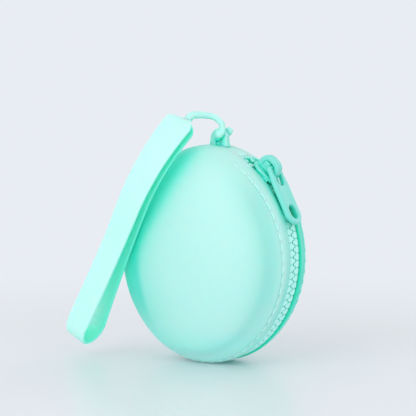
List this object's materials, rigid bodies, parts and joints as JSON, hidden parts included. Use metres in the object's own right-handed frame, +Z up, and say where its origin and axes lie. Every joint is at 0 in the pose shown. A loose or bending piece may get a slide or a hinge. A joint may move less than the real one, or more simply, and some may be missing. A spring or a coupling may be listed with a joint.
{
  "type": "silicone coin pouch",
  "caption": "Egg-shaped moulded silicone zip pouch with a side zip, a pull tab, a top eye and a looped wrist strap.",
  "frame": {"origin": "middle of the small flat on the back dome, the face that the pouch lies on", "axes": "+Z up along the egg towards its narrow end and the eye, -Y out of the front dome, +X towards the zip's side"},
  "size_m": [0.0989, 0.054, 0.1038],
  "materials": {
    "silicone": "satin moulded silicone, mint green",
    "strap_silicone": "satin moulded silicone, mint green",
    "thread": "twisted sewing thread",
    "zip_tape": "woven tape",
    "zip_plastic": "moulded plastic",
    "slider_paint": "satin paint"
  },
  "bodies": {
    "front_half": {"front_shell": "silicone", "hinge_wall": "silicone", "strap_eye": "silicone", "front_stitch_thread": "thread", "top_end_tack": "thread", "bottom_end_tack": "thread", "front_zip_tape": "zip_tape", "front_zip_teeth": "zip_plastic", "front_top_stop": "zip_plastic", "bottom_stop": "zip_plastic"},
    "rear_half": {"rear_shell": "silicone", "rear_stitch_thread": "thread", "rear_zip_tape": "zip_tape", "rear_zip_teeth": "zip_plastic", "rear_top_stop": "zip_plastic"},
    "slider": {"slider_body": "slider_paint", "slider_bridge": "slider_paint"},
    "pull": {"pull_tab": "slider_paint"},
    "link": {"strap_link": "strap_silicone", "link_knob": "strap_silicone"},
    "strap": {"strap_band": "strap_silicone"}
  },
  "joints": [
    {"name": "slider_travel", "type": "hinge", "parent": "front_half", "child": "slider", "pos_m": [-0.0065, -0.0235, 0.00337], "axis": [0, 1, 0], "range_deg": [0, 100]},
    {"name": "shell_opening", "type": "hinge", "parent": "front_half", "child": "rear_half", "pos_m": [-0.03685, -0.0198, 0.0202], "axis": [0.3621, 0, 0.9322], "range_deg": [0, 16], "deforming": ["rear_zip_teeth", "rear_zip_tape"]},
    {"name": "tab_flip", "type": "hinge", "parent": "slider", "child": "pull", "pos_m": [0.02908, -0.0235, 0.03985], "axis": [0, -1, 0], "range_deg": [0, 150]},
    {"name": "link_swing", "type": "hinge", "parent": "front_half", "child": "link", "pos_m": [0.0032, -0.0235, 0.05134], "axis": [0, 1, 0], "range_deg": [0, 40]},
    {"name": "strap_swing", "type": "hinge", "parent": "link", "child": "strap", "pos_m": [-0.0037, -0.03747, 0.05831], "axis": [-0.8773, -0.052, 0.4772], "range_deg": [0, 95]}
  ],
  "couplings": [
    {"joint": "shell_opening", "follows": "slider_travel", "ratio": 0.16}
  ]
}
